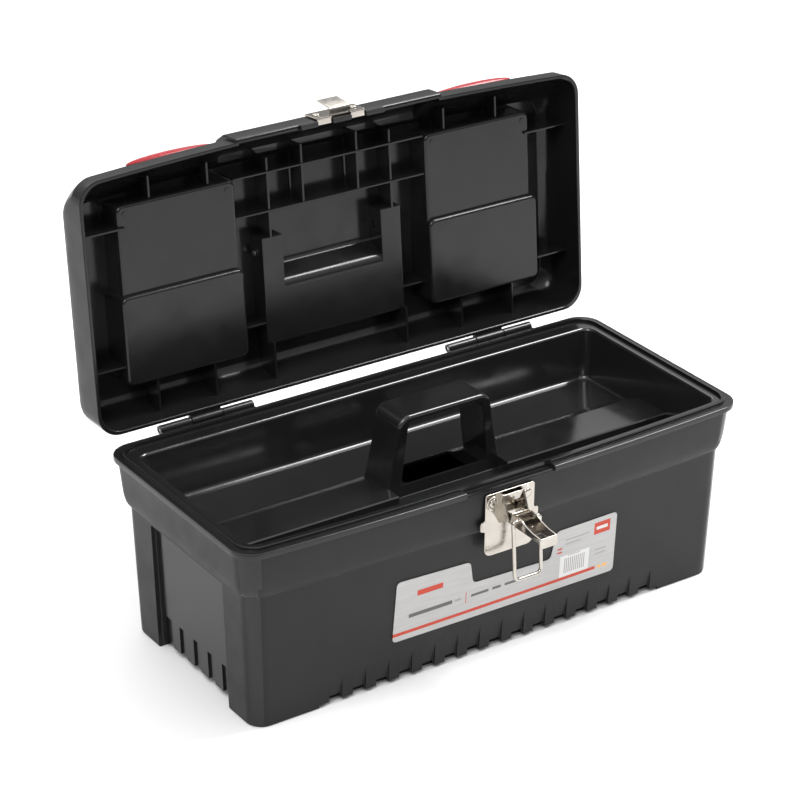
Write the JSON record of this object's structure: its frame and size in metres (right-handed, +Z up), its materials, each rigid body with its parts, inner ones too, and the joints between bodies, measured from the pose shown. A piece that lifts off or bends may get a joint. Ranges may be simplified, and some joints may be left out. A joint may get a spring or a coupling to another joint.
{
  "type": "carpenter toolbox",
  "caption": "Hinged plastic toolbox with a lift-out tray, two lid organisers, folding carry handle and steel toggle latch.",
  "frame": {"origin": "middle of the body's underside, on the surface the box stands on", "axes": "+X along the length to the right seen from the front, +Y towards the hinge side, so -Y is the front with the latch, +Z up"},
  "size_m": [0.396, 0.2783, 0.3232],
  "materials": {
    "shell_plastic": "fine-grained satin black polypropylene",
    "tray_plastic": "smooth glossy black polypropylene",
    "cover_plastic": "glossy red",
    "latch_steel": "nickel-plated, softly polished",
    "pin_steel": "zinc-plated rod",
    "label_film": "silver printed film with orange-red blocks"
  },
  "bodies": {
    "body": {"body_shell": "shell_plastic", "hinge_pin_left": "pin_steel", "hinge_pin_right": "pin_steel", "front_label": "label_film", "latch_plate": "latch_steel", "latch_rivet_left": "latch_steel", "latch_rivet_right": "latch_steel", "latch_pivot_pin": "latch_steel"},
    "tray_body": {"tray": "tray_plastic"},
    "lid": {"lid_shell": "shell_plastic", "latch_catch": "latch_steel", "catch_rivet_left": "latch_steel", "catch_rivet_right": "latch_steel", "handle_pin_left": "pin_steel", "handle_pin_right": "pin_steel"},
    "cover_left": {"organiser_cover_left": "cover_plastic"},
    "cover_right": {"organiser_cover_right": "cover_plastic"},
    "handle": {"carry_handle": "shell_plastic"},
    "lever": {"latch_lever": "latch_steel"},
    "bail": {"latch_bail": "latch_steel"}
  },
  "joints": [
    {"name": "lid_hinge", "type": "hinge", "parent": "body", "child": "lid", "pos_m": [0, 0.0932, 0.13185], "axis": [1, 0, 0], "range_deg": [0, 95.3]},
    {"name": "latch_lever_pivot", "type": "hinge", "parent": "body", "child": "lever", "pos_m": [0, -0.0955, 0.1094], "axis": [1, 0, 0], "range_deg": [0, 90]},
    {"name": "latch_bail_pivot", "type": "hinge", "parent": "lever", "child": "bail", "pos_m": [0, -0.107, 0.1109], "axis": [1, 0, 0], "range_deg": [-266.4, 0]},
    {"name": "cover_left_hinge", "type": "hinge", "parent": "lid", "child": "cover_left", "pos_m": [-0.122, 0.1337, 0.15541], "axis": [1, 0, 0], "range_deg": [-110, 0]},
    {"name": "cover_right_hinge", "type": "hinge", "parent": "lid", "child": "cover_right", "pos_m": [0.122, 0.1337, 0.15541], "axis": [1, 0, 0], "range_deg": [-110, 0]},
    {"name": "carry_handle_fold", "type": "hinge", "parent": "lid", "child": "handle", "pos_m": [0, 0.12993, 0.22305], "axis": [-1, 0, 0], "range_deg": [-90, 0]},
    {"name": "tray_lift", "type": "slide", "parent": "body", "child": "tray_body", "axis": [0, 0, -1], "range_m": [-0.16, 0]}
  ],
  "couplings": [
    {"joint": "latch_bail_pivot", "follows": "latch_lever_pivot", "ratio": -2.9589}
  ]
}
